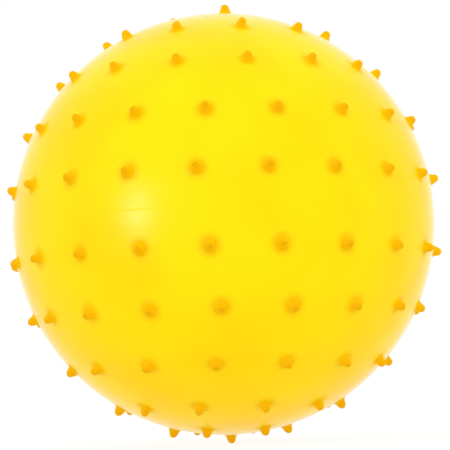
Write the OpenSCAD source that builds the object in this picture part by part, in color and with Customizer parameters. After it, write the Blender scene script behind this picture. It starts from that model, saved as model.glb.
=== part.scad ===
// Knobby inflatable play ball: a thin moulded skin with solid knobs and a push-in air valve.
// Millimetres. The origin is the ball's centre, and +Z runs up through the valve.
// Turns are measured about +Z, from -Y towards +X.

/* [Ball] */
// Diameter over the smooth skin, without the knobs
ball_d = 200; // [180:1:230]
// Thickness of the moulded skin
skin_t = 1; // [0.8:0.1:1.6]
// How far the mould seam stands proud round the middle
seam_h = 0.1; // [0.05:0.05:0.3]
// Width of the mould seam at its foot
seam_w = 1; // [0.6:0.1:1.5]

/* [Knobs] */
// Height of a knob above the skin
knob_h = 4.3; // [3.6:0.1:6]
// Radius of a knob's rounded tip
tip_r = 1.9; // [1.4:0.1:2.2]
// Angle between a knob's side and its own axis, in degrees
side_angle = 18; // [8:1:22]
// Radius of the hollow curve in which a knob's foot runs out into the skin
flare_r = 1.3; // [0.8:0.1:2]

/* [Knob rows] */
// Latitude of the first row on each side of the seam, in degrees
row_1_lat = 9.6; // [8:0.1:11]
// Latitude of the second row on each side of the seam, in degrees
row_2_lat = 25.4; // [24:0.1:27]
// Latitude of the third row on each side of the seam, in degrees
row_3_lat = 42; // [40:0.1:44]
// Latitude of the fourth row on each side of the seam, in degrees
row_4_lat = 58.8; // [57:0.1:61]
// Latitude of the small ring round the bottom knob, in degrees
row_5_lat = 74.6; // [73:0.1:77]
// Latitude of the ring of knobs round the valve, in degrees
valve_ring_lat = 77.5; // [74:0.5:78]
// Number of knobs round the valve
valve_ring_count = 3; // [3:1:4]
// Widest arc between neighbours in a row, in degrees at the ball's centre
knob_pitch = 18.2; // [17:0.1:20]

/* [Valve] */
// Radius of the hole moulded in the skin for the valve
port_r = 8.5; // [8:0.5:10]
// Radius of the sleeve's flange, which is bonded to the inside of the skin
flange_r = 13; // [12:0.5:15]
// Thickness of the flange
flange_t = 1.4; // [1:0.1:2]
// Outer radius of the sleeve's tube
tube_r = 6; // [5.5:0.1:7]
// Radius of the sleeve's bore, which also takes a pump's cone when the plug is out
bore_r = 3.5; // [3:0.1:4]
// Length of the bore below the plug's head
bore_len = 14; // [12:1:18]
// Radius of the plug's round head
head_r = 5.5; // [5:0.1:5.6]
// Thickness of the plug's head at its rim
head_t = 1.3; // [1:0.1:1.6]
// Gap round the head in its recess
head_gap = 0.3; // [0.2:0.05:0.4]
// Gap between the plug's sealing ribs and the bore
rib_gap = 0.05; // [0.02:0.01:0.1]
// Radius of the plug's shank between the ribs
shank_r = 2.7; // [2.4:0.1:2.8]

/* [Hidden] */
$fn = 96;
ball_fn = 200;

ball_r = ball_d / 2;
inner_r = ball_r - skin_t;

// Turn of one knob of each row. The rows are moulded with no common meridian.
upper_turn_1 = 11.8;
upper_turn_2 = 16.1;
upper_turn_3 = 10;
upper_turn_4 = 12.2;
valve_ring_turn = 11;
lower_turn_1 = 14.4;
lower_turn_2 = 18.5;
lower_turn_3 = 19.9;
lower_turn_4 = 17.8;
bottom_ring_turn = 36;

// Knob profile: x is the distance from the knob's axis, y the height above the skin.
// The side runs straight down from the tip's arc and then turns out in the flare's arc.
side_out = [cos(side_angle), sin(side_angle)];
side_down = [sin(side_angle), -cos(side_angle)];
tip_c = [0, knob_h - tip_r];
side_top = tip_c + tip_r * side_out;
// The flare's arc dips just under the skin, so that it meets it at a definite angle.
flare_dip = 0.1;
flare_reach = ball_r + flare_r - flare_dip;
flare_start = side_top + flare_r * side_out + [0, ball_r];
flare_dot = flare_start * side_down;
flare_run = -flare_dot - sqrt(pow(flare_dot, 2) - flare_start * flare_start + pow(flare_reach, 2));
flare_c = side_top + flare_r * side_out + flare_run * side_down;
side_end = flare_c - flare_r * side_out;
// Depth of the profile under the ball's surface, which is cut away again
knob_root = 2;

// Valve heights: the seat under the plug's head, and the inner end of the sleeve's tube
seat_z = sqrt(pow(ball_r, 2) - pow(head_r, 2)) - head_t;
tube_z = seat_z - bore_len;
// Radius of the notch for a fingernail at the edge of the recess
notch_r = 1.7;
// Depth of the collar below the seat
collar_lip = 1.5;
// Length by which a cut runs past the end of a piece
cut_over = 1;

// Plug: three sealing ribs down the shank, a tapered nose, and a dimple in the head
rib_r = bore_r - rib_gap;
rib_count = 3;
rib_pitch = 3;
rib_w = 1.2;
rib_top = 1.8;
nose_r = 2;
nose_len = 1.5;
plug_len = 12.5;
gate_r = 1.6;
gate_depth = 0.4;

skin_colour = "#ffe410";
knob_colour = "#fbb400";
plug_colour = "#f4f1e8";

function knobs_at(lat) = ceil(360 * cos(lat) / knob_pitch);

module knob_profile() {
    difference() {
        union() {
            intersection() {
                translate(tip_c) circle(tip_r);
                translate([0, tip_c[1]]) square([2 * tip_r, 2 * tip_r]);
            }
            polygon([
                [0, -knob_root],
                [flare_c[0], -knob_root],
                flare_c,
                side_end,
                side_top,
                [0, side_top[1]]
            ]);
        }
        translate(flare_c) circle(flare_r);
    }
}

// One knob, standing on the top of the ball and resting on the skin
module knob() {
    difference() {
        translate([0, 0, ball_r]) rotate_extrude() knob_profile();
        sphere(ball_r, $fn = ball_fn);
    }
}

module knob_row(lat, count, turn) {
    for (k = [0 : count - 1]) {
        rotate([0, 0, turn + k * 360 / count]) rotate([90 - lat, 0, 0]) knob();
    }
}

module seam() {
    rotate_extrude($fn = ball_fn) {
        polygon([
            [ball_r - skin_t / 2, -seam_w / 2],
            [ball_r, -seam_w / 2],
            [ball_r + seam_h, -seam_w / 6],
            [ball_r + seam_h, seam_w / 6],
            [ball_r, seam_w / 2],
            [ball_r - skin_t / 2, seam_w / 2]
        ]);
    }
}

// Hollow skin with the mould seam round its middle and the valve's hole at the top
module skin() {
    color(skin_colour) {
        difference() {
            union() {
                sphere(ball_r, $fn = ball_fn);
                seam();
            }
            sphere(inner_r, $fn = ball_fn);
            cylinder(r = port_r, h = 2 * ball_r);
        }
    }
}

module upper_knob_row_1() {
    color(knob_colour) knob_row(row_1_lat, knobs_at(row_1_lat), upper_turn_1);
}

module upper_knob_row_2() {
    color(knob_colour) knob_row(row_2_lat, knobs_at(row_2_lat), upper_turn_2);
}

module upper_knob_row_3() {
    color(knob_colour) knob_row(row_3_lat, knobs_at(row_3_lat), upper_turn_3);
}

module upper_knob_row_4() {
    color(knob_colour) knob_row(row_4_lat, knobs_at(row_4_lat), upper_turn_4);
}

module valve_knob_ring() {
    color(knob_colour) knob_row(valve_ring_lat, valve_ring_count, valve_ring_turn);
}

module lower_knob_row_1() {
    color(knob_colour) knob_row(-row_1_lat, knobs_at(row_1_lat), lower_turn_1);
}

module lower_knob_row_2() {
    color(knob_colour) knob_row(-row_2_lat, knobs_at(row_2_lat), lower_turn_2);
}

module lower_knob_row_3() {
    color(knob_colour) knob_row(-row_3_lat, knobs_at(row_3_lat), lower_turn_3);
}

module lower_knob_row_4() {
    color(knob_colour) knob_row(-row_4_lat, knobs_at(row_4_lat), lower_turn_4);
}

module bottom_knob_ring() {
    color(knob_colour) knob_row(-row_5_lat, knobs_at(row_5_lat), bottom_ring_turn);
}

module bottom_knob() {
    color(knob_colour) rotate([180, 0, 0]) knob();
}

// Soft sleeve: a collar flush with the skin, a flange bonded under it, and a bored tube inside the ball
module valve_sleeve() {
    color(skin_colour) {
        difference() {
            union() {
                intersection() {
                    sphere(ball_r, $fn = ball_fn);
                    translate([0, 0, seat_z - collar_lip]) cylinder(r = port_r, h = ball_r);
                }
                difference() {
                    intersection() {
                        sphere(inner_r, $fn = ball_fn);
                        cylinder(r = flange_r, h = ball_r);
                    }
                    sphere(inner_r - flange_t, $fn = ball_fn);
                }
                translate([0, 0, tube_z]) cylinder(r = tube_r, h = seat_z - tube_z);
            }
            translate([0, 0, seat_z]) cylinder(r = head_r + head_gap, h = ball_r);
            translate([0, 0, tube_z - cut_over]) cylinder(r = bore_r, h = ball_r);
            translate([0, -head_r - head_gap, seat_z]) cylinder(r = notch_r, h = ball_r);
        }
    }
}

module plug_rib() {
    rotate_extrude() {
        polygon([
            [0, -rib_w],
            [shank_r, -rib_w],
            [rib_r, -rib_w / 3],
            [rib_r, 0],
            [shank_r, rib_w / 4],
            [0, rib_w / 4]
        ]);
    }
}

// Push-in plug: a round head that follows the ball's curve, on a ribbed shank
module valve_plug() {
    color(plug_colour) {
        difference() {
            union() {
                intersection() {
                    sphere(ball_r, $fn = ball_fn);
                    translate([0, 0, seat_z]) cylinder(r = head_r, h = ball_r);
                }
                translate([0, 0, seat_z - plug_len]) {
                    cylinder(r1 = nose_r, r2 = shank_r, h = nose_len);
                    translate([0, 0, nose_len]) cylinder(r = shank_r, h = plug_len - nose_len);
                }
                for (k = [0 : rib_count - 1]) {
                    translate([0, 0, seat_z - rib_top - k * rib_pitch]) plug_rib();
                }
            }
            translate([0, 0, ball_r - gate_depth]) cylinder(r = gate_r, h = ball_r);
        }
    }
}

skin();
upper_knob_row_1();
upper_knob_row_2();
upper_knob_row_3();
upper_knob_row_4();
valve_knob_ring();
lower_knob_row_1();
lower_knob_row_2();
lower_knob_row_3();
lower_knob_row_4();
bottom_knob_ring();
bottom_knob();
valve_sleeve();
valve_plug();
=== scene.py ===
import math

import bmesh
import bpy
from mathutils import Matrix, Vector


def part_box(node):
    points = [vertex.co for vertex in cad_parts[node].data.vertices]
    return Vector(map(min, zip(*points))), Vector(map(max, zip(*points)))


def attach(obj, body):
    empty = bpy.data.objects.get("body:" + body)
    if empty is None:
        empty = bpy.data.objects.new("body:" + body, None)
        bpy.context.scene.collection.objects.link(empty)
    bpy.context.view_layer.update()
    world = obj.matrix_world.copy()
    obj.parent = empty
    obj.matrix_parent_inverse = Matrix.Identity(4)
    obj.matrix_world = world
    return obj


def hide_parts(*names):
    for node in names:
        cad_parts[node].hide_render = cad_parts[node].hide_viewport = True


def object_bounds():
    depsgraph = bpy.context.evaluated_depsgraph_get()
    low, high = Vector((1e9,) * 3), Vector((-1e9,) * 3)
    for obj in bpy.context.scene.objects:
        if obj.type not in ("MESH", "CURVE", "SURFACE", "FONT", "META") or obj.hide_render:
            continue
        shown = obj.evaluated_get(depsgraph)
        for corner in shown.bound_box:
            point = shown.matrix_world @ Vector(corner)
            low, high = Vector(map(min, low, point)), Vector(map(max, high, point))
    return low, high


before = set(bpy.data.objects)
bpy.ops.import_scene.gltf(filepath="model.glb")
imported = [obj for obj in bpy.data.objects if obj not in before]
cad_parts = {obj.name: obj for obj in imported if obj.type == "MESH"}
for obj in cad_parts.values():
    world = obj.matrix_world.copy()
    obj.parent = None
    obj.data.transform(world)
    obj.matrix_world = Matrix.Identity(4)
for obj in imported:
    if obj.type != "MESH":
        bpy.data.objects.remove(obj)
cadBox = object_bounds()
scene = bpy.context.scene
mm = 0.001
mergeDistance = 0.001 * mm
pvcIor = 1.5
print("frame loaded:", len(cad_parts), "nodes")


def linearColour(hexColour):
    channels = [int(hexColour[i:i + 2], 16) / 255 for i in (1, 3, 5)]
    return [c / 12.92 if c < 0.04045 else ((c + 0.055) / 1.055) ** 2.4 for c in channels] + [1]


# Adds a node. An input may be a plain value, a socket, or a node whose first output is meant.
def addNode(tree, kind, inputs=None, **settings):
    node = tree.nodes.new(kind)
    for name, value in settings.items():
        setattr(node, name, value)
    for socket, value in (inputs or {}).items():
        if isinstance(value, bpy.types.Node):
            value = value.outputs[0]
        if isinstance(value, bpy.types.NodeSocket):
            tree.links.new(value, node.inputs[socket])
        else:
            node.inputs[socket].default_value = value
    return node


# Sizes taken from the frame
skinLow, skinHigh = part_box("skin")
sleeveLow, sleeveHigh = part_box("valve_sleeve")
plugLow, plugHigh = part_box("valve_plug")
ballRadius = -skinLow.z  # the bottom of the skin is bare of any hole
seamHeight = skinHigh.x - ballRadius
portRadius = math.sqrt(ballRadius ** 2 - skinHigh.z ** 2)
flangeRadius = sleeveHigh.x
headRadius = plugHigh.x


# Height of the ball's surface at a radius from its upright axis, or of a surface that far below it.
def onBall(radius, depth=0):
    return math.sqrt((ballRadius - depth) ** 2 - radius ** 2)


vinylLook = {
    "skin": "#ffd803",         # bright yellow pigment through a 1 mm wall
    "thick": "#ffd000",        # patches where the wall came out a little thicker
    "foot": "#fdd003",         # the wall thickens towards a knob
    "flank": "#ffc603",
    "core": "#dfa802",         # full depth of a solid knob
    "stops": (("skin", 0.0), ("foot", 0.30), ("flank", 0.55), ("core", 0.82)),  # by depth of vinyl
    "wallEnds": 0.25,          # depth past which the patches no longer show
    "patchSize": 45 * mm,
    "patchEdge": (0.35, 0.7),  # levels of the noise at which a patch starts and is full
    "peelSize": 0.9 * mm,      # fine orange peel from the mould
    "peelDepth": 0.010 * mm,
    "swellSize": 9 * mm,       # long shallow swells of a wall blown up with air
    "swellDepth": 0.03 * mm,
    "roughness": (0.27, 0.34),
    "rubbedSpan": (0.3, 0.7),  # levels of the noise that the roughness follows
    "knobDulling": 0.3,        # added roughness at full depth
    "wallBloom": 1.0,          # faint bloom of plasticiser, pale where the wall is seen at a slant
    "knobBloom": 0.0,          # handling rubs the knobs clean
    "bloomSpread": 0.22,
    "wallGloss": 0.06,         # low, because the bloom dulls the face
    "knobGloss": 0.02,
    "glowThrough": 0.8,        # share of light that passes through a solid knob
    "glowFrom": (0.2, 0.6),    # depths at which it starts and is full
    "glowReach": 1.2 * mm,
    "glowByColour": (1.0, 0.95, 0.3),
}


def newMaterial(name):
    material = bpy.data.materials.new(name)
    material.use_nodes = True
    material.node_tree.nodes.clear()
    return material, material.node_tree


# Plastisol: soft PVC paste, slush moulded in a hot mould and pulled out while warm.
# The mould's skin gives it a satin face, and its colour deepens with the depth of the vinyl.
def mouldedPlastisol(name, look, bloom, gloss):
    material, tree = newMaterial(name)
    place = addNode(tree, "ShaderNodeTexCoord").outputs["Object"]
    depth = addNode(tree, "ShaderNodeAttribute", attribute_name="vinylDepth").outputs["Fac"]
    patches = addNode(tree, "ShaderNodeTexNoise", {
        "Vector": place, "Scale": 1 / look["patchSize"], "Detail": 2.0, "Roughness": 0.45})
    patchShare = addNode(tree, "ShaderNodeMapRange", {
        "Value": patches, "From Min": look["patchEdge"][0], "From Max": look["patchEdge"][1]},
        interpolation_type="SMOOTHSTEP")
    wall = addNode(tree, "ShaderNodeMix", {
        "Factor": patchShare, 6: linearColour(look["skin"]), 7: linearColour(look["thick"])},
        data_type="RGBA").outputs[2]
    ramp = addNode(tree, "ShaderNodeValToRGB", {"Fac": depth})
    while len(ramp.color_ramp.elements) < len(look["stops"]):
        ramp.color_ramp.elements.new(0.5)
    for element, (tone, position) in zip(ramp.color_ramp.elements, look["stops"]):
        element.position = position
        element.color = linearColour(look[tone])
    ramp.color_ramp.interpolation = "B_SPLINE"
    deepShare = addNode(tree, "ShaderNodeMapRange", {
        "Value": depth, "From Max": look["wallEnds"]}, interpolation_type="SMOOTHSTEP")
    colour = addNode(tree, "ShaderNodeMix", {
        "Factor": deepShare, 6: wall, 7: ramp}, data_type="RGBA").outputs[2]
    smoothest, roughest = look["roughness"]
    rubbed = addNode(tree, "ShaderNodeTexNoise", {
        "Vector": place, "Scale": 1 / look["swellSize"], "Detail": 4.0})
    roughness = addNode(tree, "ShaderNodeMapRange", {
        "Value": rubbed, "From Min": look["rubbedSpan"][0], "From Max": look["rubbedSpan"][1],
        "To Min": smoothest, "To Max": roughest})
    duller = addNode(tree, "ShaderNodeMath", {
        0: depth, 1: look["knobDulling"], 2: roughness}, operation="MULTIPLY_ADD")
    through = addNode(tree, "ShaderNodeMapRange", {
        "Value": depth, "From Min": look["glowFrom"][0], "From Max": look["glowFrom"][1],
        "To Min": 0.0, "To Max": look["glowThrough"]})
    swell = addNode(tree, "ShaderNodeBump", {
        "Height": rubbed, "Distance": look["swellDepth"], "Strength": 1.0})
    peel = addNode(tree, "ShaderNodeTexNoise", {
        "Vector": place, "Scale": 1 / look["peelSize"], "Detail": 2.0})
    face = addNode(tree, "ShaderNodeBump", {
        "Height": peel, "Distance": look["peelDepth"], "Strength": 1.0, "Normal": swell})
    shader = addNode(tree, "ShaderNodeBsdfPrincipled", {
        "Base Color": colour, "Roughness": duller, "Normal": face,
        "IOR": pvcIor, "Specular IOR Level": gloss,
        "Sheen Weight": bloom, "Sheen Roughness": look["bloomSpread"],
        "Subsurface Weight": through, "Subsurface Radius": look["glowByColour"],
        "Subsurface Scale": look["glowReach"]})
    addNode(tree, "ShaderNodeOutputMaterial", {"Surface": shader})
    return material


plastisolWall = mouldedPlastisol(
    "plastisolWall", vinylLook, vinylLook["wallBloom"], vinylLook["wallGloss"])
plastisolKnob = mouldedPlastisol(
    "plastisolKnob", vinylLook, vinylLook["knobBloom"], vinylLook["knobGloss"])

valveLook = {
    "collar": "#f6ca0a",
    "collarFlow": "#efbf06",  # flow marks left by injection moulding
    "plug": "#efece0",
    "plugFlow": "#e6e1d0",
    "flowSize": 5 * mm,
    "flowEdge": (0.4, 0.7),
    "flowCurl": 1.2,
    "matteSize": 0.35 * mm,   # spark-eroded grain
    "matteDepth": 0.008 * mm,
    "roughness": (0.42, 0.58),
    "gloss": 0.35,
}


# Injection moulded soft PVC: a fine spark-eroded matt face, with faint streaks where it flowed.
def mouldedSoftPvc(name, look, tone, flowTone):
    material, tree = newMaterial(name)
    place = addNode(tree, "ShaderNodeTexCoord").outputs["Object"]
    streaks = addNode(tree, "ShaderNodeTexNoise", {
        "Vector": place, "Scale": 1 / look["flowSize"], "Detail": 3.0, "Distortion": look["flowCurl"]})
    streakShare = addNode(tree, "ShaderNodeMapRange", {
        "Value": streaks, "From Min": look["flowEdge"][0], "From Max": look["flowEdge"][1]},
        interpolation_type="SMOOTHSTEP")
    colour = addNode(tree, "ShaderNodeMix", {
        "Factor": streakShare, 6: linearColour(tone), 7: linearColour(flowTone)},
        data_type="RGBA").outputs[2]
    matte = addNode(tree, "ShaderNodeTexNoise", {
        "Vector": place, "Scale": 1 / look["matteSize"], "Detail": 2.0})
    smoothest, roughest = look["roughness"]
    roughness = addNode(tree, "ShaderNodeMapRange", {
        "Value": matte, "To Min": smoothest, "To Max": roughest})
    face = addNode(tree, "ShaderNodeBump", {
        "Height": matte, "Distance": look["matteDepth"], "Strength": 1.0})
    shader = addNode(tree, "ShaderNodeBsdfPrincipled", {
        "Base Color": colour, "Roughness": roughness, "Normal": face,
        "IOR": pvcIor, "Specular IOR Level": look["gloss"]})
    addNode(tree, "ShaderNodeOutputMaterial", {"Surface": shader})
    return material


softPvcCollar = mouldedSoftPvc("softPvcCollar", valveLook, valveLook["collar"], valveLook["collarFlow"])
softPvcPlug = mouldedSoftPvc("softPvcPlug", valveLook, valveLook["plug"], valveLook["plugFlow"])
print("materials made")


def newPiece(name):
    piece = bpy.data.objects.new(name, bpy.data.meshes.new(name))
    scene.collection.objects.link(piece)
    return piece


def finishPiece(piece, body, slot, *nodes):
    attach(piece, body)
    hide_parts(*nodes)


def addModifierTree(piece, tree, values):
    modifier = piece.modifiers.new(tree.name, "NODES")
    modifier.node_group = tree
    identifiers = {item.name: item.identifier for item in tree.interface.items_tree
                   if item.item_type == "SOCKET" and item.in_out == "INPUT"}
    for name, value in values.items():
        modifier[identifiers[name]] = value


# Turns a piece and its live modifiers into a plain mesh.
def settlePiece(piece):
    evaluated = piece.evaluated_get(bpy.context.evaluated_depsgraph_get())
    mesh = bpy.data.meshes.new_from_object(evaluated)
    piece.modifiers.clear()
    piece.data = mesh
    mesh.name = piece.name


def newTree(name, sockets):
    tree = bpy.data.node_groups.new(name, "GeometryNodeTree")
    for label, kind in sockets.items():
        tree.interface.new_socket(label, in_out="INPUT", socket_type="NodeSocket" + kind)
    tree.interface.new_socket("Geometry", in_out="OUTPUT", socket_type="NodeSocketGeometry")
    return tree, addNode(tree, "NodeGroupInput").outputs


# The skin is one hollow moulding, with a mould seam round its middle and a hole for the valve.
ballSkin = {
    "wall": 1.0 * mm,
    "seamWidth": 1.0 * mm,
    "seamZone": 1.0 * mm,  # half the width of the band of fine rings
    "seamKept": 0.5,       # share of the seam's height left after trimming
    "seamWobble": 0.8,     # how unevenly it was trimmed
    "wobblePace": 7.0,     # how often that changes round the ball
    "around": 256,
    "ringsBelow": 62,
    "ringsAcross": 14,
    "ringsAbove": 60,
    "portEdge": 0.2 * mm,  # rounding at the valve's hole
    "portEdgeSteps": 2,
    "sharpAngle": math.radians(60),
}


def buildSkinTree():
    tree, given = newTree("ballSkinShape", {
        "Radius": "Float", "Seam Height": "Float", "Seam Width": "Float", "Seam Zone": "Float",
        "Seam Kept": "Float", "Seam Wobble": "Float", "Wobble Pace": "Float", "Port Latitude": "Float",
        "Around": "Int", "Rings Below": "Int", "Rings Across": "Int", "Rings Above": "Int",
        "Material": "Material"})

    # a flat grid: x becomes the turn round the ball, y the ring from the bottom up to the port
    toSeamEnd = addNode(tree, "ShaderNodeMath", {0: given["Rings Below"], 1: given["Rings Across"]})
    rings = addNode(tree, "ShaderNodeMath", {0: toSeamEnd, 1: given["Rings Above"]})
    columns = addNode(tree, "ShaderNodeMath", {0: given["Around"], 1: 1.0})
    lines = addNode(tree, "ShaderNodeMath", {0: rings, 1: 1.0})
    grid = addNode(tree, "GeometryNodeMeshGrid", {
        "Size X": 1.0, "Size Y": 1.0, "Vertices X": columns, "Vertices Y": lines})
    across = addNode(tree, "ShaderNodeSeparateXYZ", {
        "Vector": addNode(tree, "GeometryNodeInputPosition")}).outputs
    turn = addNode(tree, "ShaderNodeMath", {
        0: across["X"], 1: math.tau, 2: math.pi}, operation="MULTIPLY_ADD")
    fromBottom = addNode(tree, "ShaderNodeMath", {0: across["Y"], 1: 0.5})
    ring = addNode(tree, "ShaderNodeMath", {0: fromBottom, 1: rings}, operation="MULTIPLY")

    # coarse rings below and above, and a band of fine ones over the seam
    zone = addNode(tree, "ShaderNodeMath", {
        0: given["Seam Zone"], 1: given["Radius"]}, operation="DIVIDE")
    zoneBelow = addNode(tree, "ShaderNodeMath", {0: zone, 1: -1.0}, operation="MULTIPLY")
    zoneWide = addNode(tree, "ShaderNodeMath", {0: zone, 1: 2.0}, operation="MULTIPLY")
    toPort = addNode(tree, "ShaderNodeMath", {0: given["Port Latitude"], 1: zone}, operation="SUBTRACT")
    below = addNode(tree, "ShaderNodeMapRange", {
        "Value": ring, "From Min": 0.0, "From Max": given["Rings Below"],
        "To Min": -math.pi / 2, "To Max": zoneBelow})
    inside = addNode(tree, "ShaderNodeMapRange", {
        "Value": ring, "From Min": given["Rings Below"], "From Max": toSeamEnd,
        "To Min": 0.0, "To Max": zoneWide})
    above = addNode(tree, "ShaderNodeMapRange", {
        "Value": ring, "From Min": toSeamEnd, "From Max": rings, "To Min": 0.0, "To Max": toPort})
    lowerPart = addNode(tree, "ShaderNodeMath", {0: below, 1: inside})
    latitude = addNode(tree, "ShaderNodeMath", {0: lowerPart, 1: above})

    # the seam stands proud by a height that varies a little round the ball
    turnSine = addNode(tree, "ShaderNodeMath", {0: turn}, operation="SINE")
    turnCosine = addNode(tree, "ShaderNodeMath", {0: turn}, operation="COSINE")
    direction = addNode(tree, "ShaderNodeCombineXYZ", {"X": turnSine, "Y": turnCosine})
    wobble = addNode(tree, "ShaderNodeTexNoise", {
        "Vector": direction, "Scale": given["Wobble Pace"], "Detail": 3.0})
    uneven = addNode(tree, "ShaderNodeMath", {0: wobble, 1: 0.5}, operation="SUBTRACT")
    trimmed = addNode(tree, "ShaderNodeMath", {
        0: uneven, 1: given["Seam Wobble"], 2: given["Seam Kept"]},
        operation="MULTIPLY_ADD", use_clamp=True)
    arc = addNode(tree, "ShaderNodeMath", {0: latitude, 1: given["Radius"]}, operation="MULTIPLY")
    fromSeam = addNode(tree, "ShaderNodeMath", {0: arc}, operation="ABSOLUTE")
    halfWidth = addNode(tree, "ShaderNodeMath", {0: given["Seam Width"], 1: 0.5}, operation="MULTIPLY")
    ridge = addNode(tree, "ShaderNodeMapRange", {
        "Value": fromSeam, "From Min": halfWidth, "From Max": 0.0,
        "To Min": 0.0, "To Max": 1.0}, interpolation_type="SMOOTHSTEP")
    fullRidge = addNode(tree, "ShaderNodeMath", {
        0: ridge, 1: given["Seam Height"]}, operation="MULTIPLY")
    reach = addNode(tree, "ShaderNodeMath", {
        0: fullRidge, 1: trimmed, 2: given["Radius"]}, operation="MULTIPLY_ADD")

    # the point at that reach on the front of the ball, raised to its latitude and turned to its place
    front = addNode(tree, "ShaderNodeMath", {0: reach, 1: -1.0}, operation="MULTIPLY")
    tilt = addNode(tree, "ShaderNodeMath", {0: latitude, 1: -1.0}, operation="MULTIPLY")
    frontPoint = addNode(tree, "ShaderNodeCombineXYZ", {"Y": front})
    aim = addNode(tree, "ShaderNodeCombineXYZ", {"X": tilt, "Z": turn})
    bent = addNode(tree, "ShaderNodeVectorRotate", {
        "Vector": frontPoint, "Rotation": aim}, rotation_type="EULER_XYZ")
    shaped = addNode(tree, "GeometryNodeSetPosition", {"Geometry": grid, "Position": bent})
    merged = addNode(tree, "GeometryNodeMergeByDistance", {
        "Geometry": shaped, "Distance": mergeDistance})
    smooth = addNode(tree, "GeometryNodeSetShadeSmooth", {"Geometry": merged})
    real = addNode(tree, "GeometryNodeRealizeInstances", {"Geometry": smooth})
    painted = addNode(tree, "GeometryNodeSetMaterial", {"Geometry": real, "Material": given["Material"]})
    addNode(tree, "NodeGroupOutput", {"Geometry": painted})
    return tree


skinPiece = newPiece("ball_skin")
addModifierTree(skinPiece, buildSkinTree(), {
    "Radius": ballRadius, "Seam Height": seamHeight, "Seam Width": ballSkin["seamWidth"],
    "Seam Zone": ballSkin["seamZone"], "Seam Kept": ballSkin["seamKept"],
    "Seam Wobble": ballSkin["seamWobble"], "Wobble Pace": ballSkin["wobblePace"],
    "Port Latitude": math.acos(portRadius / ballRadius), "Around": ballSkin["around"],
    "Rings Below": ballSkin["ringsBelow"], "Rings Across": ballSkin["ringsAcross"],
    "Rings Above": ballSkin["ringsAbove"], "Material": plastisolWall})
hollow = skinPiece.modifiers.new("hollow", "SOLIDIFY")
hollow.thickness = ballSkin["wall"]
hollow.offset = -1  # inwards
portEdge = skinPiece.modifiers.new("portEdge", "BEVEL")
portEdge.width = ballSkin["portEdge"]
portEdge.segments = ballSkin["portEdgeSteps"]
portEdge.limit_method = "ANGLE"
portEdge.angle_limit = ballSkin["sharpAngle"]
settlePiece(skinPiece)
finishPiece(skinPiece, "ball", "skin_vinyl", "skin")
print("skin made:", len(skinPiece.data.polygons), "faces")

# The knobs are solid and moulded in one with the skin.
knob = {
    "height": 4.3 * mm,
    "tipRadius": 1.9 * mm,
    "sideAngle": math.radians(18),  # between a knob's side and its own axis
    "flareRadius": 1.3 * mm,
    "flareEnd": math.radians(86),   # the flare runs out nearly flat on the skin
    "swellHeight": 0.08 * mm,       # the skin swells a little towards a knob
    "swellBreak": (0.35, 0.5),      # share of the way out at which it has half gone
    "swellRadius": 7.0 * mm,
    "swellEdge": 0.008 * mm,
    "dips": ((0.6 * mm, -0.016 * mm), (1.2 * mm, -0.05 * mm)),  # into the skin, too gently to see
    "rootRadius": 6.3 * mm,
    "rootDepth": 0.5 * mm,          # half way through the wall
    "tipSteps": 6,
    "flareSteps": 4,
    "around": 20,
    "haloRadius": 7.2 * mm,         # the colour has faded into the wall's at this distance
    "knobFrom": 0.46,               # depth of vinyl at the knob's foot
    "lean": 0.45 * mm,
    "leanCurve": 1.5,               # how late up its height a knob starts to lean
    "heightSpread": 0.06,           # share by which a knob may come out short
    "dentSize": 2.5 * mm,
    "dentDepth": 0.12 * mm,
    "seedStep": 7,                  # keeps the random draws of the rows apart
}


# Radius and height above the skin of each ring of a knob, from the tip to the middle of its root.
def knobOutline(size):
    height, tip, angle, flare = size["height"], size["tipRadius"], size["sideAngle"], size["flareRadius"]
    outward = Vector((math.cos(angle), math.sin(angle)))
    downward = Vector((math.sin(angle), -math.cos(angle)))
    tipCentre = Vector((0, height - tip))
    sideTop = tipCentre + tip * outward
    flareLow = size["swellHeight"] + flare     # the lowest point of the flare lies on the swell
    run = (sideTop.y + flare * outward.y - flareLow) / -downward.y
    flareCentre = sideTop + flare * outward + run * downward
    points = []
    for step in range(size["tipSteps"] + 1):
        turn = math.pi / 2 - (math.pi / 2 - angle) * step / size["tipSteps"]
        points.append(tipCentre + tip * Vector((math.cos(turn), math.sin(turn))))
    for step in range(size["flareSteps"] + 1):
        turn = math.pi + angle + (size["flareEnd"] - angle) * step / size["flareSteps"]
        points.append(flareCentre + flare * Vector((math.cos(turn), math.sin(turn))))
    foot, edge, low = points[-1], size["swellRadius"], size["swellEdge"]
    out, down = size["swellBreak"]
    points += [Vector((foot.x + out * (edge - foot.x), foot.y + down * (low - foot.y))),
               Vector((edge, low))]
    points += [Vector((edge + beyond, dip)) for beyond, dip in size["dips"]]
    points += [Vector((size["rootRadius"], -size["rootDepth"])),
               Vector((0, -size["rootDepth"]))]
    return points


# A knob on the top of the ball. Its heights are measured from the round skin.
def buildKnob(size):
    mesh = bmesh.new()
    rings = []
    for radius, height in knobOutline(size):
        if radius < mergeDistance:
            rings.append([mesh.verts.new((0, 0, ballRadius + height))])
            continue
        ring = []
        for step in range(size["around"]):
            turn = math.tau * step / size["around"]
            x, y = radius * math.cos(turn), radius * math.sin(turn)
            ring.append(mesh.verts.new((x, y, onBall(radius) + height)))
        rings.append(ring)
    for upper, lower in zip(rings, rings[1:]):
        for step in range(size["around"]):
            after = (step + 1) % size["around"]
            corners = [upper[step % len(upper)], lower[step % len(lower)],
                       lower[after % len(lower)], upper[after % len(upper)]]
            mesh.faces.new(list(dict.fromkeys(corners)))
    piece = newPiece("knobPattern")
    mesh.to_mesh(piece.data)
    mesh.free()
    return piece


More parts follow.
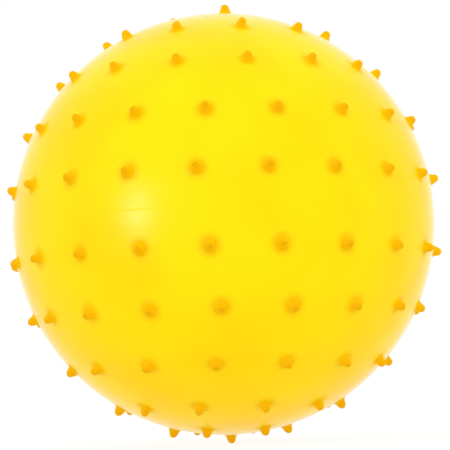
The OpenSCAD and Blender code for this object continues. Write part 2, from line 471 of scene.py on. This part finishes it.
def buildRowTree():
    tree, given = newTree("knobRowShape", {
        "Knob": "Object", "Count": "Int", "Latitude": "Float", "Turn": "Float", "Ball Radius": "Float",
        "Knob Height": "Float", "Halo Radius": "Float", "Lean": "Float", "Lean Curve": "Float",
        "Height Spread": "Float", "Dent Size": "Float", "Dent Depth": "Float", "Seed": "Int",
        "Knob From": "Float", "Wall Material": "Material", "Knob Material": "Material"})

    # one knob, with the depth of its vinyl stored on it: full at its axis and none just past its swell
    place = addNode(tree, "GeometryNodeInputPosition")
    flat = addNode(tree, "ShaderNodeVectorMath", {0: place, 1: (1.0, 1.0, 0.0)}, operation="MULTIPLY")
    fromAxis = addNode(tree, "ShaderNodeVectorMath", {0: flat}, operation="LENGTH").outputs["Value"]
    depth = addNode(tree, "ShaderNodeMapRange", {
        "Value": fromAxis, "From Min": 0.0, "From Max": given["Halo Radius"],
        "To Min": 1.0, "To Max": 0.0})
    knobShape = addNode(tree, "GeometryNodeObjectInfo", {"Object": given["Knob"]}).outputs["Geometry"]
    deep = addNode(tree, "GeometryNodeStoreNamedAttribute", {
        "Geometry": knobShape, "Name": "vinylDepth", "Value": depth}, data_type="FLOAT", domain="POINT")

    # a point at the ball's centre for each knob, turned to that knob's axis
    step = addNode(tree, "ShaderNodeMath", {0: math.tau, 1: given["Count"]}, operation="DIVIDE")
    turn = addNode(tree, "ShaderNodeMath", {
        0: addNode(tree, "GeometryNodeInputIndex"), 1: step, 2: given["Turn"]}, operation="MULTIPLY_ADD")
    tilt = addNode(tree, "ShaderNodeMath", {0: math.pi / 2, 1: given["Latitude"]}, operation="SUBTRACT")
    aim = addNode(tree, "ShaderNodeCombineXYZ", {"X": tilt, "Z": turn})
    points = addNode(tree, "GeometryNodePoints", {"Count": given["Count"]})
    sideways = addNode(tree, "FunctionNodeRandomValue", {
        "Min": (-1.0, -1.0, 0.0), "Max": (1.0, 1.0, 0.0), "Seed": given["Seed"]},
        data_type="FLOAT_VECTOR")
    turned = addNode(tree, "ShaderNodeVectorRotate", {
        "Vector": sideways.outputs["Value"], "Rotation": aim}, rotation_type="EULER_XYZ")
    leaning = addNode(tree, "GeometryNodeStoreNamedAttribute", {
        "Geometry": points, "Name": "knobLean", "Value": turned},
        data_type="FLOAT_VECTOR", domain="POINT")
    nextSeed = addNode(tree, "ShaderNodeMath", {0: given["Seed"], 1: 1.0})
    shorter = addNode(tree, "FunctionNodeRandomValue", {
        2: -1.0, 3: 0.0, "Seed": nextSeed}, data_type="FLOAT").outputs[1]
    uneven = addNode(tree, "GeometryNodeStoreNamedAttribute", {
        "Geometry": leaning, "Name": "knobStretch", "Value": shorter}, data_type="FLOAT", domain="POINT")
    row = addNode(tree, "GeometryNodeInstanceOnPoints", {
        "Points": uneven, "Instance": deep, "Rotation": aim})
    real = addNode(tree, "GeometryNodeRealizeInstances", {"Geometry": row})

    # each knob then leans, stretches and dents on its own, and its foot stays on the skin
    distance = addNode(tree, "ShaderNodeVectorMath", {0: place}, operation="LENGTH").outputs["Value"]
    height = addNode(tree, "ShaderNodeMath", {
        0: distance, 1: given["Ball Radius"]}, operation="SUBTRACT")
    rise = addNode(tree, "ShaderNodeMath", {
        0: height, 1: given["Knob Height"]}, operation="DIVIDE", use_clamp=True)
    lean = addNode(tree, "GeometryNodeInputNamedAttribute", {
        "Name": "knobLean"}, data_type="FLOAT_VECTOR")
    stretch = addNode(tree, "GeometryNodeInputNamedAttribute", {
        "Name": "knobStretch"}, data_type="FLOAT")
    bend = addNode(tree, "ShaderNodeMath", {0: rise, 1: given["Lean Curve"]}, operation="POWER")
    leanBy = addNode(tree, "ShaderNodeMath", {0: bend, 1: given["Lean"]}, operation="MULTIPLY")
    leaned = addNode(tree, "ShaderNodeVectorMath", {0: lean, "Scale": leanBy}, operation="SCALE")
    fullOut = addNode(tree, "ShaderNodeMath", {0: rise, 1: given["Knob Height"]}, operation="MULTIPLY")
    outShare = addNode(tree, "ShaderNodeMath", {
        0: stretch, 1: given["Height Spread"]}, operation="MULTIPLY")
    outBy = addNode(tree, "ShaderNodeMath", {0: fullOut, 1: outShare}, operation="MULTIPLY")
    outward = addNode(tree, "ShaderNodeVectorMath", {0: place}, operation="NORMALIZE")
    lifted = addNode(tree, "ShaderNodeVectorMath", {0: outward, "Scale": outBy}, operation="SCALE")
    dentScale = addNode(tree, "ShaderNodeMath", {0: 1.0, 1: given["Dent Size"]}, operation="DIVIDE")
    noise = addNode(tree, "ShaderNodeTexNoise", {"Vector": place, "Scale": dentScale, "Detail": 1.0})
    bothWays = addNode(tree, "ShaderNodeVectorMath", {
        0: noise.outputs["Color"], 1: (0.5, 0.5, 0.5)}, operation="SUBTRACT")
    dentRise = addNode(tree, "ShaderNodeMath", {0: rise}, operation="SQRT")
    dentBy = addNode(tree, "ShaderNodeMath", {0: dentRise, 1: given["Dent Depth"]}, operation="MULTIPLY")
    dent = addNode(tree, "ShaderNodeVectorMath", {0: bothWays, "Scale": dentBy}, operation="SCALE")
    shift = addNode(tree, "ShaderNodeVectorMath", {0: leaned, 1: lifted})
    moved = addNode(tree, "GeometryNodeSetPosition", {
        "Geometry": real, "Offset": addNode(tree, "ShaderNodeVectorMath", {0: shift, 1: dent})})
    bare = addNode(tree, "GeometryNodeRemoveAttribute", {"Geometry": moved, "Name": "knobLean"})
    plain = addNode(tree, "GeometryNodeRemoveAttribute", {"Geometry": bare, "Name": "knobStretch"})
    smooth = addNode(tree, "GeometryNodeSetShadeSmooth", {"Geometry": plain})
    wall = addNode(tree, "GeometryNodeSetMaterial", {
        "Geometry": smooth, "Material": given["Wall Material"]})
    stored = addNode(tree, "GeometryNodeInputNamedAttribute", {"Name": "vinylDepth"}, data_type="FLOAT")
    isKnob = addNode(tree, "FunctionNodeCompare", {
        "A": stored, "B": given["Knob From"]}, data_type="FLOAT", operation="GREATER_THAN")
    painted = addNode(tree, "GeometryNodeSetMaterial", {
        "Geometry": wall, "Selection": isKnob, "Material": given["Knob Material"]})
    addNode(tree, "NodeGroupOutput", {"Geometry": painted})
    return tree


# Counts the knobs of a row in the frame, and finds its latitude and the turn of its first knob.
def measureRow(node):
    mesh = bmesh.new()
    mesh.from_mesh(node.data)
    bmesh.ops.remove_doubles(mesh, verts=mesh.verts, dist=mergeDistance)
    seen, axes = set(), []
    for start in mesh.verts:
        if start in seen:
            continue
        seen.add(start)
        island = [start]
        for vert in island:
            for edge in vert.link_edges:
                other = edge.other_vert(vert)
                if other not in seen:
                    seen.add(other)
                    island.append(other)
        axes.append(sum((v.co for v in island), Vector()).normalized())
    mesh.free()
    latitude = math.asin(sum(axis.z for axis in axes) / len(axes))
    turns = sorted(math.atan2(axis.x, -axis.y) % math.tau for axis in axes)
    return len(axes), latitude, turns[0]


knobPattern = buildKnob(knob)
rowTree = buildRowTree()
rowNames = sorted(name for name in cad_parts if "knob" in name)
for index, nodeName in enumerate(rowNames):
    count, latitude, turn = measureRow(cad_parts[nodeName])
    rowPiece = newPiece(nodeName.replace("knob", "nub"))  # the frame's own node keeps its name
    addModifierTree(rowPiece, rowTree, {
        "Knob": knobPattern, "Count": count, "Latitude": latitude, "Turn": turn,
        "Ball Radius": ballRadius, "Knob Height": knob["height"], "Halo Radius": knob["haloRadius"],
        "Lean": knob["lean"], "Lean Curve": knob["leanCurve"], "Height Spread": knob["heightSpread"],
        "Dent Size": knob["dentSize"], "Dent Depth": knob["dentDepth"], "Seed": index * knob["seedStep"],
        "Knob From": knob["knobFrom"], "Wall Material": plastisolWall, "Knob Material": plastisolKnob})
    settlePiece(rowPiece)
    finishPiece(rowPiece, "ball", "knob_vinyl", nodeName)
    print("row", nodeName, count, round(math.degrees(latitude), 2), round(math.degrees(turn), 2))
bpy.data.objects.remove(knobPattern)


cornerSteps = 3
longestRounding = 0.45  # of the side that it eats into


# Rounds each corner of a closed outline. A corner is its radius, its height and its rounding.
def roundedOutline(corners):
    points = []
    for index, (radius, height, rounding) in enumerate(corners):
        here = Vector((radius, height))
        if rounding <= 0:
            points.append(here)
            continue
        before = Vector(corners[index - 1][:2]) - here
        after = Vector(corners[(index + 1) % len(corners)][:2]) - here
        back = here + before.normalized() * min(rounding, longestRounding * before.length)
        on = here + after.normalized() * min(rounding, longestRounding * after.length)
        for step in range(cornerSteps + 1):
            t = step / cornerSteps
            points.append(back * (1 - t) ** 2 + here * 2 * t * (1 - t) + on * t ** 2)
    return points


# Spins rings of points about the valve's axis. place() gives a ring's point at a turn.
def spinRings(name, ringCount, around, closed, place):
    mesh = bmesh.new()
    rings = [[mesh.verts.new(place(ring, math.tau * step / around)) for step in range(around)]
             for ring in range(ringCount)]
    pairs = list(zip(rings, rings[1:])) + ([(rings[-1], rings[0])] if closed else [])
    for upper, lower in pairs:
        for step in range(around):
            after = (step + 1) % around
            mesh.faces.new((upper[step], lower[step], lower[after], upper[after]))
    bmesh.ops.remove_doubles(mesh, verts=mesh.verts, dist=mergeDistance)
    bmesh.ops.dissolve_degenerate(mesh, edges=mesh.edges, dist=mergeDistance / 2)
    bmesh.ops.recalc_face_normals(mesh, faces=mesh.faces)
    for face in mesh.faces:
        face.smooth = True
    piece = newPiece(name)
    mesh.to_mesh(piece.data)
    mesh.free()
    return piece


# The plug: a low head that follows the ball's curve, on a shank with three sealing ribs
plug = {
    "headThick": 1.3 * mm,
    "faceShares": (0.3, 0.55, 0.8),  # places on the head's curved face, from the dimple to the rim
    "rimRound": 0.35 * mm,
    "underRound": 0.25 * mm,
    "dimpleRadius": 1.6 * mm,
    "dimpleDepth": 0.4 * mm,
    "dimpleDraft": 0.15 * mm,
    "dimpleRound": 0.2 * mm,
    "gateRadius": 0.45 * mm,         # stub where the plug was cut from its runner
    "gateHeight": 0.15 * mm,
    "gateDraft": 0.1 * mm,
    "shankRadius": 2.7 * mm,
    "shankRound": 0.3 * mm,
    "ribCount": 3,
    "ribRadius": 3.45 * mm,
    "ribTop": 1.8 * mm,
    "ribPitch": 3.0 * mm,
    "ribWidth": 1.2 * mm,
    "smallRound": 0.12 * mm,
    "noseRadius": 2.0 * mm,
    "noseLength": 1.5 * mm,
    "noseRound": 0.5 * mm,
    "around": 72,
}
seat = onBall(headRadius) - plug["headThick"]

# The sleeve: a collar flush with the skin, a flange bonded under it, and a bored tube
sleeve = {
    "headGap": 0.3 * mm,
    "boreRadius": 3.5 * mm,
    "tubeRadius": 6.0 * mm,
    "tubeRound": 0.5 * mm,
    "faceShares": (0.5, 0.8),  # places on the collar's curved face, from the recess to the port
    "edgeRound": 0.25 * mm,
    "flangeThick": 1.4 * mm,
    "flangeRound": 0.5 * mm,
    "collarLip": 1.5 * mm,     # thickness of the collar's floor round the tube
    "collarRound": 0.3 * mm,
    "collarTaper": (0.4 * mm, -0.2 * mm),  # beyond the port's radius, at its top and its foot
    "notchRadius": 1.7 * mm,   # room for a fingernail under the plug's rim
    "notchRim": 0.15 * mm,     # what is left between the notch and the port's edge
    "around": 144,
}


def buildPlug():
    low, shank, small = plugLow.z, plug["shankRadius"], plug["smallRound"]
    dimple, gate = plug["dimpleRadius"], plug["gateRadius"]
    dimpleFloor = ballRadius - plug["dimpleDepth"]
    corners = [(0, dimpleFloor + plug["gateHeight"], 0),
               (gate, dimpleFloor + plug["gateHeight"], small),
               (gate + plug["gateDraft"], dimpleFloor, small),
               (dimple - plug["dimpleDraft"], dimpleFloor, plug["dimpleRound"]),
               (dimple, onBall(dimple), plug["dimpleRound"])]
    for share in plug["faceShares"]:
        radius = dimple + share * (headRadius - dimple)
        corners.append((radius, onBall(radius), 0))
    corners += [(headRadius, onBall(headRadius), plug["rimRound"]),
                (headRadius, seat, plug["underRound"]),
                (shank, seat, plug["shankRound"])]
    for rib in range(plug["ribCount"]):
        top = seat - plug["ribTop"] - rib * plug["ribPitch"]
        corners += [(shank, top + plug["ribWidth"] / 4, small),
                    (plug["ribRadius"], top, small),
                    (plug["ribRadius"], top - plug["ribWidth"] / 3, small),
                    (shank, top - plug["ribWidth"], small)]
    corners += [(shank, low + plug["noseLength"], plug["shankRound"]),
                (plug["noseRadius"], low, plug["noseRound"]),
                (0, low, 0)]
    outline = roundedOutline(corners)
    piece = spinRings("plug_push_in", len(outline), plug["around"], False, lambda ring, turn: (
        outline[ring].x * math.sin(turn), -outline[ring].x * math.cos(turn), outline[ring].y))
    piece.data.materials.append(softPvcPlug)
    return piece


def buildSleeve():
    low, tube, bore = sleeveLow.z, sleeve["tubeRadius"], sleeve["boreRadius"]
    recess = headRadius + sleeve["headGap"]
    wall, edge, notch = ballSkin["wall"], sleeve["edgeRound"], sleeve["notchRadius"]
    notchEnd = portRadius - edge - sleeve["notchRim"]
    flangeLow = wall + sleeve["flangeThick"]
    flangeMiddle = 0.5 * (portRadius + flangeRadius)
    lip = seat - sleeve["collarLip"]
    taperTop, taperLow = sleeve["collarTaper"]
    corners = [(bore, low, edge),
               (bore, seat, edge),
               (recess, seat, edge),
               (recess, onBall(recess), edge)]
    for share in sleeve["faceShares"]:
        radius = recess + share * (portRadius - recess)
        corners.append((radius, onBall(radius), 0))
    corners += [(portRadius, onBall(portRadius), edge),
                (portRadius, onBall(portRadius, wall), 0),
                (flangeMiddle, onBall(flangeMiddle, wall), 0),
                (flangeRadius, onBall(flangeRadius, wall), edge),
                (flangeRadius, onBall(flangeRadius, flangeLow), sleeve["flangeRound"]),
                (portRadius + taperTop, onBall(portRadius, flangeLow), sleeve["collarRound"]),
                (portRadius + taperLow, lip, edge),
                (tube, lip, sleeve["tubeRound"]),
                (tube, low, edge)]
    outline = roundedOutline(corners)

    # the notch pushes out what lies between the recess's wall and the port, over a short arc in front
    def place(ring, turn):
        radius, height = outline[ring]
        side = min(turn, math.tau - turn)
        if height > seat - 0.5 * edge and recess - 1.1 * edge < radius < notchEnd:
            across = recess * math.sin(side)
            if abs(across) < notch and side < 1:
                reach = recess * math.cos(side) + math.sqrt(notch ** 2 - across ** 2)
                share = (notchEnd - radius) / (notchEnd - recess)
                radius += max(0, reach - recess) * min(1, share)
                height = min(height, onBall(radius))
        return radius * math.sin(turn), -radius * math.cos(turn), height

    piece = spinRings("sleeve_bonded", len(outline), sleeve["around"], True, place)
    piece.data.materials.append(softPvcCollar)
    return piece


finishPiece(buildSleeve(), "ball", "sleeve_vinyl", "valve_sleeve")
finishPiece(buildPlug(), "plug", "plug_vinyl", "valve_plug")
print("valve made")

# A table of opal acrylic sheet, lit from inside, in an even white room
stage = {
    "floorSize": 30.0,
    "floorAlbedo": 0.85,
    "shadowShare": 0.14,  # how much of the floor's own shading the eye sees
    "tableGlow": 0.68,    # share of the table's light on the ball that comes from inside it
    "glowStrength": 1.03,
    "fill": 1.09,         # strength of the room's light on the ball
    "white": (1, 1, 1, 1),
}

# A large softbox above the camera, and a small card at the side that only shows as a highlight.
# They point at the ball. Angles are in degrees, from the front and from level.
keySoftbox = {
    "azimuth": 0, "elevation": 32, "distance": 1.6, "size": (1.2, 1.0), "watts": 5.2,
    "diffuse": True, "glossy": False,
}
sideCard = {
    "azimuth": -44, "elevation": 4, "distance": 1.2, "size": (0.14, 0.3), "watts": 13.0,
    "diffuse": False, "glossy": True,
}


# 1 where a surface is seen directly, in a gloss or through glass, and 0 where it lights something else.
def seenByEye(tree):
    ray = addNode(tree, "ShaderNodeLightPath").outputs
    straight = addNode(tree, "ShaderNodeMath", {
        0: ray["Is Camera Ray"], 1: ray["Is Glossy Ray"]}, operation="MAXIMUM")
    return addNode(tree, "ShaderNodeMath", {
        0: straight, 1: ray["Is Transmission Ray"]}, operation="MAXIMUM")


def buildFloor():
    mesh = bmesh.new()
    half = stage["floorSize"] / 2
    corners = ((-half, -half), (half, -half), (half, half), (-half, half))
    mesh.faces.new([mesh.verts.new((x, y, cadBox[0].z)) for x, y in corners])
    floor = newPiece("studioTable")
    mesh.to_mesh(floor.data)
    mesh.free()
    material, tree = newMaterial("opalTableTop")
    share = addNode(tree, "ShaderNodeMapRange", {
        "Value": seenByEye(tree), "To Min": stage["tableGlow"], "To Max": 1 - stage["shadowShare"]})
    paint = addNode(tree, "ShaderNodeBsdfDiffuse", {"Color": [stage["floorAlbedo"]] * 3 + [1]})
    glow = addNode(tree, "ShaderNodeEmission", {
        "Color": stage["white"], "Strength": stage["glowStrength"]})
    mixed = addNode(tree, "ShaderNodeMixShader", {0: share, 1: paint, 2: glow})
    addNode(tree, "ShaderNodeOutputMaterial", {"Surface": mixed})
    material.cycles.emission_sampling = "NONE"  # so that each kind of ray meets its own strength
    floor.data.materials.append(material)


def buildWorld():
    world = bpy.data.worlds.new("evenRoom")
    scene.world = world
    world.use_nodes = True
    tree = world.node_tree
    tree.nodes.clear()
    strength = addNode(tree, "ShaderNodeMapRange", {
        "Value": seenByEye(tree), "To Min": stage["fill"], "To Max": 1.0})
    backdrop = addNode(tree, "ShaderNodeBackground", {"Color": stage["white"], "Strength": strength})
    addNode(tree, "ShaderNodeOutputWorld", {"Surface": backdrop})
    world.cycles.sampling_method = "NONE"


def addLamp(name, lamp):
    light = bpy.data.lights.new(name, "AREA")
    light.shape = "RECTANGLE"
    light.size, light.size_y = lamp["size"]
    light.energy = lamp["watts"]
    holder = bpy.data.objects.new(name, light)
    scene.collection.objects.link(holder)
    turn, rise = math.radians(lamp["azimuth"]), math.radians(lamp["elevation"])
    out = lamp["distance"] * math.cos(rise)
    holder.location = (out * math.sin(turn), -out * math.cos(turn), lamp["distance"] * math.sin(rise))
    holder.rotation_euler = (-holder.location).to_track_quat("-Z", "Y").to_euler()
    holder.visible_camera = False
    holder.visible_diffuse = lamp["diffuse"]
    holder.visible_glossy = lamp["glossy"]


buildFloor()
buildWorld()
addLamp("keySoftbox", keySoftbox)
addLamp("sideCard", sideCard)

view = {
    "distance": 9 * ballRadius,
    "elevation": -4.7,  # degrees; the eye is a little below the ball's middle
    "roll": -2.0,
    "lens": 150.8,
    "shift": (0.0029, -0.0020),
}
camera = bpy.data.objects.new("camera", bpy.data.cameras.new("camera"))
scene.collection.objects.link(camera)
rise = math.radians(view["elevation"])
camera.location = view["distance"] * Vector((0, -math.cos(rise), math.sin(rise)))
camera.rotation_euler = (-camera.location).to_track_quat("-Z", "Y").to_euler()
camera.rotation_euler.rotate_axis("Z", math.radians(view["roll"]))
camera.data.lens = view["lens"]
camera.data.shift_x, camera.data.shift_y = view["shift"]
scene.camera = camera
scene.view_settings.view_transform = "Standard"
print("stage set")
